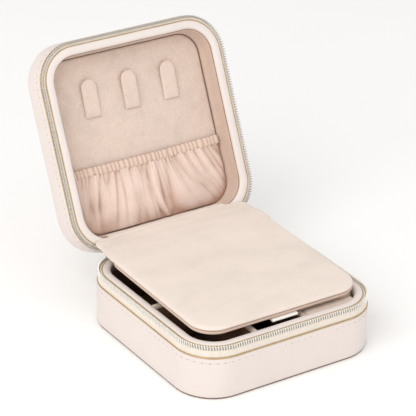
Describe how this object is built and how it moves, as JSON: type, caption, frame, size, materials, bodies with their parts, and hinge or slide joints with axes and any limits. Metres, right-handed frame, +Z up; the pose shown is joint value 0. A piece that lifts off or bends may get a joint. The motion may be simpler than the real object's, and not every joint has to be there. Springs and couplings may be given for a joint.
{
  "type": "travel jewelry box",
  "caption": "Square zipped travel jewelry box with a divided tray, a padded cover flap and a lid with necklace hooks and a gathered pocket.",
  "frame": {"origin": "centre of the underside of the case, on the surface it stands on", "axes": "+X to the right seen from the front, +Y from the front to the hinge, +Z up"},
  "size_m": [0.115, 0.1797, 0.1349],
  "materials": {
    "card": "matte grey board",
    "shell_leather": "fine grained leatherette, satin",
    "bottom_leather": "fine grained leatherette, matte",
    "collar_leather": "smooth leatherette, satin",
    "tab_leather": "smooth leatherette, satin",
    "gold_piping": "metallic gold foil piping",
    "gold_metal": "pale gold plated, polished",
    "zip_elements": "pale nickel, satin",
    "zip_tape": "woven tape, matte",
    "tray_velvet": "short pile velvet",
    "roll_velvet": "short pile velvet over foam",
    "lid_velvet": "short pile velvet",
    "pocket_velvet": "short pile velvet, gathered",
    "hook_velvet": "short pile velvet over card",
    "pad_velvet": "short pile velvet over foam",
    "elastic": "covered elastic band"
  },
  "bodies": {
    "base": {"base_tray_board": "card", "base_cover": "shell_leather", "base_bottom_cover": "bottom_leather", "base_outer_piping": "gold_piping", "base_zip_tape": "zip_tape", "base_zip_teeth": "zip_elements", "base_zip_stops": "zip_elements", "base_rim_collar": "collar_leather", "base_inner_piping": "gold_piping", "base_wall_lining": "tray_velvet", "base_floor_pad": "tray_velvet", "divider_left": "tray_velvet", "divider_right": "tray_velvet", "divider_left_bay": "tray_velvet", "divider_right_bay": "tray_velvet", "ring_rolls": "roll_velvet", "spine_leather": "shell_leather"},
    "lid": {"lid_board": "card", "lid_cover": "shell_leather", "lid_outer_piping": "gold_piping", "lid_zip_tape": "zip_tape", "lid_zip_teeth": "zip_elements", "lid_zip_stops": "zip_elements", "lid_rim_collar": "collar_leather", "lid_inner_piping": "gold_piping", "lid_wall_lining": "lid_velvet", "lid_back_panel": "lid_velvet", "pocket_panel": "pocket_velvet", "pocket_hem": "pocket_velvet", "pocket_elastic": "elastic"},
    "hook_left": {"hook_left": "hook_velvet"},
    "hook_centre": {"hook_centre": "hook_velvet"},
    "hook_right": {"hook_right": "hook_velvet"},
    "pad": {"pad_board": "card", "pad_top_cover": "pad_velvet", "pad_bottom_cover": "pad_velvet", "pad_hinge_strip": "pad_velvet"},
    "pull_tab": {"pad_pull_tab": "tab_leather"},
    "slider": {"zip_slider": "gold_metal"},
    "puller": {"zip_puller": "gold_metal"}
  },
  "joints": [
    {"name": "lid_hinge", "type": "hinge", "parent": "base", "child": "lid", "pos_m": [0, 0.0575, 0.0305], "axis": [1, 0, 0], "range_deg": [0, 115], "deforming": ["spine_leather", "pad_hinge_strip", "lid_zip_teeth"]},
    {"name": "pad_hinge", "type": "hinge", "parent": "base", "child": "pad", "pos_m": [0, 0.0476, 0.0362], "axis": [1, 0, 0], "range_deg": [-100, 0], "deforming": ["pad_hinge_strip"]},
    {"name": "pull_tab_flex", "type": "hinge", "parent": "pad", "child": "pull_tab", "pos_m": [0, -0.04235, 0.03238], "axis": [1, 0, 0], "range_deg": [0, 70], "stiffness_Nm_per_rad": 0.001},
    {"name": "hook_left_flex", "type": "hinge", "parent": "lid", "child": "hook_left", "pos_m": [-0.025, 0.09948, 0.09037], "axis": [-1, 0, 0], "range_deg": [-12, 0], "stiffness_Nm_per_rad": 0.001},
    {"name": "hook_centre_flex", "type": "hinge", "parent": "lid", "child": "hook_centre", "pos_m": [0, 0.09948, 0.09037], "axis": [-1, 0, 0], "range_deg": [-12, 0], "stiffness_Nm_per_rad": 0.001},
    {"name": "hook_right_flex", "type": "hinge", "parent": "lid", "child": "hook_right", "pos_m": [0.025, 0.09948, 0.09037], "axis": [-1, 0, 0], "range_deg": [-12, 0], "stiffness_Nm_per_rad": 0.001},
    {"name": "zip_slide", "type": "hinge", "parent": "base", "child": "slider", "pos_m": [0.0355, 0.0355, 0.0305], "axis": [0, 0, -1], "range_deg": [0, 45], "deforming": ["base_zip_teeth"]},
    {"name": "puller_hinge", "type": "hinge", "parent": "slider", "child": "puller", "pos_m": [0.05261, 0.05261, 0.0305], "axis": [0.7071, -0.7071, 0], "range_deg": [0, 170]}
  ]
}
